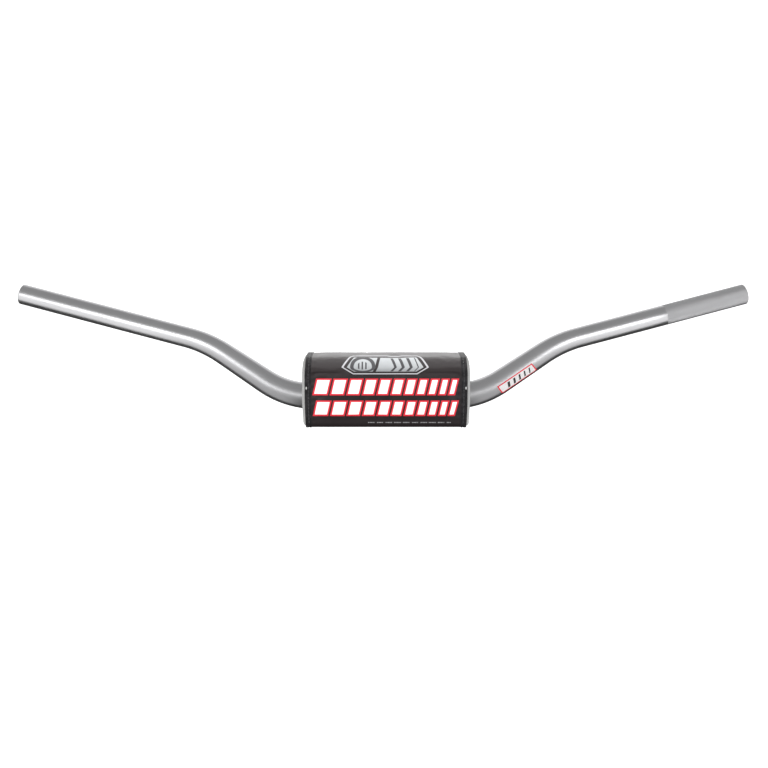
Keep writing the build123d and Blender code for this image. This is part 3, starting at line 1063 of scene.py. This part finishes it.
def print_colour(n, u, v):
    """The cover's print: two rows of slanted bars, a badge over the top edge and fine dashes."""
    rows = [
        bar_row(u, v - centre, height, BAR_WIDTHS, BAR_START, BAR_GAP, BAR_SLANT)
        for centre, height in BAR_ROWS
    ]
    distance = lowest(*rows) + (n.noise(260, 3) * 0.5 - 0.25) * 0.25
    across = u - BADGE_U
    up = v - BADGE_V
    up = lowest(up, up * BADGE_SQUEEZE)
    badge = hexagon(across, up, BADGE_HALF, BADGE_TALL, BADGE_TAPER)
    plate = highest(badge + 3.2, 1.6 - abs(across - up * 0.5 - BADGE_SPLIT))
    # painted highlight: the badge's silver ink is a grey that brightens towards its upper edge, which
    # runs back over the pad's top, plus random variation from the noise
    silver_level_and_painted_sheen = up * 0.02 + 0.27 + n.noise(70, 3) * 0.12
    silver_ink_and_painted_sheen = n.add("CombineColor", {0: silver_level_and_painted_sheen * 0.96, 1: silver_level_and_painted_sheen, 2: silver_level_and_painted_sheen * 1.03})
    oval = ellipse(across - BADGE_OVAL, up, OVAL_HALF, OVAL_TALL)
    vents = highest((across + 100).math("PINGPONG", 1.9) - 0.8, oval + 2.2)
    chevron = across + abs(up) * 0.9
    chevrons = highest(
        (chevron + 98.5).math("PINGPONG", 4.2) - 1.6,
        abs(chevron - CHEVRON_MIDDLE) - CHEVRON_SPAN,
        badge + 3.6,
    )
    marks = lowest(abs(oval) - 0.8, vents, chevrons)
    dashes = highest(
        (u + 100).math("PINGPONG", 0.8) - 0.45,
        1.1 - (u + 103).math("PINGPONG", 4.6),
        abs(v - DASH_V) - DASH_HALF_HEIGHT,
        abs(u - DASH_U) - DASH_REACH,
    )
    bars = printed(n, VINYL_BLACK, 0.25, (distance - RED_WIDTH, PRINT_RED), (distance, PRINT_WHITE))
    colour = printed(
        n, bars, 0.3, (plate, silver_ink_and_painted_sheen.outputs[0]), (marks, BADGE_MARKS),
        (abs(badge + 0.6) - 0.55, BADGE_LINE), (dashes, DASH_GREY),
    )
    return colour, distance


def vinyl_material():
    """Glossy PVC-coated cloth, screen printed."""
    n = Nodes("black_vinyl")
    colour, ink = print_colour(n, *n.uv())
    rough = soft(ink, 0.4) * 0.1 + n.noise(60, 5) * 0.12 + 0.34
    n.bump(n.noise(1500, 2, 0.6), 0.10, 0.00008)
    n.bump(n.noise(90, 3), 0.20, 0.0006)
    n.bump(soft(ink - RED_WIDTH, 0.4), 0.35, 0.00006)
    return n.set(
        Base_Color=colour, Roughness=rough, Specular_IOR_Level=0.36, Coat_Weight=0.3, Coat_Roughness=0.22
    )


def hem_material():
    """Grained vinyl tape, a little duller than the cover and rubbed pale in random patches."""
    n = Nodes("hem_vinyl")
    wear = n.ramp(n.noise(180, 5), (0.45, 0), (0.75, 1))
    colour = n.mix(wear, (0.010, 0.009, 0.010), (0.026, 0.024, 0.026))
    n.bump(n.noise(1100, 3), 0.35, 0.0002)
    return n.set(Base_Color=colour, Roughness=0.45, Specular_IOR_Level=0.15)


def foam_material():
    """Light grey closed-cell foam with open pores at its cut skin, their centres painted darker as
    shade.
    """
    n = Nodes("foam")
    position = n.add("TexCoord").outputs["Object"]
    pores = n.add("TexVoronoi", {"Scale": 1400, "Vector": position}, feature="F1")
    pores_and_painted_shade = n.ramp(pores.outputs["Distance"], (0.0, 0.0), (0.4, 1.0))
    colour = n.mix(n.noise(45, 4), (0.33, 0.33, 0.325), (0.40, 0.40, 0.395))
    # painted shade: the pores' centres are darkened towards 0.19 grey
    colour = n.mix((1 - pores_and_painted_shade) * 0.35, colour, (0.19, 0.19, 0.185))
    n.bump(pores_and_painted_shade, 0.5, 0.00025)
    n.bump(n.noise(400, 4), 0.4, 0.0004)
    return n.set(Base_Color=colour, Roughness=0.92, Specular_IOR_Level=0.2)


def fibre_material(name, dark, light, scale, roughness, sheen):
    """Thread, webbing or tape: fine fibres with a soft sheen."""
    n = Nodes(name)
    fibres = n.noise(scale, 3, 0.6, (0.25, 1, 1))
    colour = n.mix(fibres, dark, light)
    n.bump(fibres, 0.4, 0.00015)
    return n.set(Base_Color=colour, Roughness=roughness, Sheen_Weight=sheen, Specular_IOR_Level=0.35)


def sticker_material():
    """Laminated print: slanted black bars on a red-edged white ground."""
    n = Nodes("printed_sticker")
    u, v = n.uv()
    tall = STICKER_TALL - 2 * STICKER_MARGIN
    bars = bar_row(u, v, tall, STICKER_BARS, STICKER_BAR_START, STICKER_BAR_GAP, STICKER_BAR_SLANT)
    border = lowest(
        STICKER_TALL / 2 - 1.1 - abs(v), STICKER_LENGTH / 2 - 2.0 - abs(u - v * STICKER_SLANT)
    )
    colour = printed(n, STICKER_WHITE, 0.2, (border, PRINT_RED), (bars, VINYL_BLACK))
    n.bump(n.noise(200, 2), 0.08, 0.0002)
    return n.set(Base_Color=colour, Roughness=n.noise(150, 3) * 0.1 + 0.22, Coat_Weight=0.3)


FIBRES = (  # name, darkest and lightest colour, scale, roughness and sheen
    ("thread_black", (0.012, 0.012, 0.013), (0.045, 0.045, 0.05), 2500, 0.55, 0.3),
    # the pale thread is a painted glint: it colours the short stitch that stands in for a highlight on
    # each hem
    ("painted_glint_thread", (0.45, 0.45, 0.44), (0.75, 0.75, 0.74), 2500, 0.6, 0.3),
    ("webbing_black", (0.012, 0.012, 0.013), (0.035, 0.035, 0.037), 1800, 0.65, 0.5),
    ("hook_nylon", (0.02, 0.02, 0.021), (0.05, 0.05, 0.052), 900, 0.4, 0.1),
    ("loop_pile", (0.015, 0.015, 0.016), (0.05, 0.05, 0.053), 1600, 0.8, 0.6),
)
thread_black, painted_glint_thread, webbing, hook_nylon, loop_pile = (fibre_material(*row) for row in FIBRES)


def build_sticker(material):
    """Die-cut band wrapped low on the rider's left rising run."""
    rise_start = next(station for station in HALF_STATIONS if station[1].angle(RISE) < 0.001)
    cloth = Cloth()
    reach = STICKER_LENGTH / 2 - abs(STICKER_SLANT) * STICKER_TALL / 2
    rows = []
    for v in spaced(-STICKER_TALL / 2, STICKER_TALL / 2, 0.6):
        row = []
        for share in spaced(-1, 1, 1 / 40):
            u = share * reach + STICKER_SLANT * v
            distance = rise_start[2] + (STICKER_START + STICKER_LENGTH / 2 + u) * MM
            centre, direction = tube_place(distance)
            rear, up = around(direction)
            radius = radius_at(distance, CLAMP_RADIUS, GRIP_RADIUS) / MM
            turn = v / radius + STICKER_TURN
            offset = up * math.sin(turn) - rear * math.cos(turn)
            lift = radius + STICKER_GAP + STICKER_THICKNESS
            row.append(cloth.point(centre + offset * lift * MM, u, v))
        rows.append(row)
    cloth.skin(rows)
    face_forwards(cloth.bm)
    sticker = new_object("bar_sticker_film", cloth.bm, (material,))
    thicken(sticker, STICKER_THICKNESS)
    return sticker


# --- the pieces ---
place(build_sticker(sticker_material()), PAD_BODY, "bar_sticker", "printed_sticker")
foam = place(build_foam(foam_material()), PAD_BODY, "foam_core", "foam")
cover = place(build_cover(vinyl_material()), PAD_BODY, "pad_cover", "black_vinyl")
hems = []
hem_vinyl = hem_material()
for side, hand in ((1, "left"), (-1, "right")):
    tape = build_hem(side, f"hem_tape_{hand}_folded", hem_vinyl)
    thread = build_hem_thread(side, f"hem_thread_{hand}_sewn", (thread_black, painted_glint_thread))
    hems.append(place(tape, PAD_BODY, f"hem_tape_{hand}", "hem_vinyl"))
    hems.append(place(thread, PAD_BODY, f"hem_thread_{hand}", "thread"))
place(build_loops(loop_pile), PAD_BODY, "loop_strip", "loop_fabric")
place(build_hooks(hook_nylon), "flap", "hook_strip", "hook_tape")
THREAD_INSET = 0.7 * MM  # from the hook strip's long edges to its stitches
seam_pieces = (  # node, body, height and rows of each seam
    ("loop_strip_thread", PAD_BODY, loop_low.z,
     ((loop_low.y + hook_low.y) / 2, (loop_high.y + hook_high.y) / 2)),
    ("hook_strip_thread", "flap", flap_low.z, (hook_low.y + THREAD_INSET, hook_high.y - THREAD_INSET)),
    ("flap_seam_thread", PAD_BODY, sewn_low.z, ((sewn_low.y + sewn_high.y) / 2,)),
)
for node, body, height, rows in seam_pieces:
    seam_rows = [(y / MM, height / MM) for y in rows]
    place(build_seam(f"{node}_sewn", seam_rows, thread_black), body, node, "thread")
flap = build_flap(webbing)
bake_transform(flap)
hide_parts("closing_flap", "flap_sewn_edge")

TAB_REACH = tab_profile()[-1][2]
flat_width = 2 * COVER_HALF * MM
flat_length = (S_END + 2 * TAB_REACH) * MM
flat_area = flat_width * S_END * MM
flat_area += 2 * 2 * TAB_HALF * TAB_REACH * MM ** 2
flat_area += 4 * (COVER_HALF - POCKET_OUTER) * END_RETURN * MM ** 2
FLAP_LENGTH = (len(flap_path()) - 1) * WEB_STEP

# --- stage ---
CARD_Z = cad_low.z - 4 * MM
CARD_EDGE = -0.005
CARD_STRENGTH = 1.4
CARD_LEVELS = ((0.0, 0.08), (0.09, 0.10), (0.12, 0.42), (0.24, 0.55), (0.34, 1.0))
FLOOR_Z = cad_low.z - 80 * MM  # low enough for the closing flap to swing open
FLOOR_ALBEDO, FLOOR_GLOW = 0.6, 0.82
SWEEP_START, SWEEP_RADIUS, SWEEP_STEPS = 1.6, 1.2, 24


def stage_material(name, colour, emission=0.0):
    n = Nodes(name)
    n.set(Base_Color=(colour,) * 3, Roughness=0.9)
    if emission:
        n.set(Emission_Color=(1.0, 1.0, 1.0), Emission_Strength=emission)
    return n.material


def build_sweep():
    """Floor that curves up into a backdrop."""
    curve = arc(SWEEP_START, SWEEP_RADIUS, SWEEP_RADIUS, -90, 0, SWEEP_STEPS)
    profile = [(-4.0, 0.0), *curve, (SWEEP_START + SWEEP_RADIUS, 4.0)]
    bm = bmesh.new()
    rows = [[bm.verts.new((x, y, FLOOR_Z + z)) for x in (-5.0, 5.0)] for y, z in profile]
    for (a, b), (d, c) in zip(rows, rows[1:]):
        bm.faces.new((a, b, c, d)).smooth = True
    new_object("floor", bm, (stage_material("floor_white", FLOOR_ALBEDO, FLOOR_GLOW),))


def add_softbox(name, location, target, size, power):
    light = bpy.data.lights.new(name, "AREA")
    assign(light, shape="RECTANGLE", size=size[0], size_y=size[1], energy=power)
    return assign(add_object(name, light, location, target), visible_camera=False)


def front_card_material():
    """Dark ahead of the pad and as bright as the floor ahead of the grips."""
    n = Nodes("card_front")
    position = n.add("SeparateXYZ", {0: n.add("NewGeometry").outputs["Position"]})
    level = n.ramp(abs(Field(n, position.outputs[0])), *CARD_LEVELS)
    return n.set(
        Base_Color=(0.0, 0.0, 0.0), Emission_Color=level, Emission_Strength=CARD_STRENGTH, Roughness=1.0
    )


def build_flags():
    """Cards on the floor that only mirror reflections see, for the tube's and the pad's dark sides."""
    for name, half, front, rear, material in (
        ("card_rear", 1.2, CARD_EDGE, 0.35, stage_material("card_rear", 0.0)),
        ("card_front", 0.9, -0.75, CARD_EDGE, front_card_material()),
    ):
        bm = bmesh.new()
        corners = ((-half, front), (half, front), (half, rear), (-half, rear))
        bm.faces.new([bm.verts.new((x, y, CARD_Z)) for x, y in corners])
        card = new_object(name, bm, (material,))
        card.visible_camera = card.visible_diffuse = card.visible_shadow = False


def build_pad_light(receivers):
    """Broad light over the pad alone, whose mirror image fades forwards over its domed top."""
    lit = bpy.data.collections.new("pad_receivers")
    for piece in receivers:
        lit.objects.link(piece)
    light = add_softbox("over_pad", (0, -0.3, 1.0), (0, -0.3, 0), (1.5, 2.4), 16.0)
    light.light_linking.receiver_collection = lit


def build_world():
    world = bpy.data.worlds.new("studio")
    scene.world = world
    world.use_nodes = True
    background = world.node_tree.nodes["Background"]
    background.inputs["Color"].default_value = (1, 1, 1, 1)
    background.inputs["Strength"].default_value = 0.45


build_sweep()
build_flags()
build_world()
build_pad_light([cover, *hems])
for hand, inner_power in ((-1, 0.85), (1, 0.3)):
    for name, start, end, power in (("inner", 0.24, 0.55, inner_power), ("outer", 0.55, 1.35, 5.8)):
        middle = hand * (start + end) / 2
        size = (end - start, 0.58)
        add_softbox(f"front_{name}_{hand}", (middle, -1.3, 0.26), (middle, 0, 0.05), size, power)
add_softbox("top", (0, -0.3, 1.6), (0, 0, 0), (2.5, 1.5), 18).visible_glossy = False
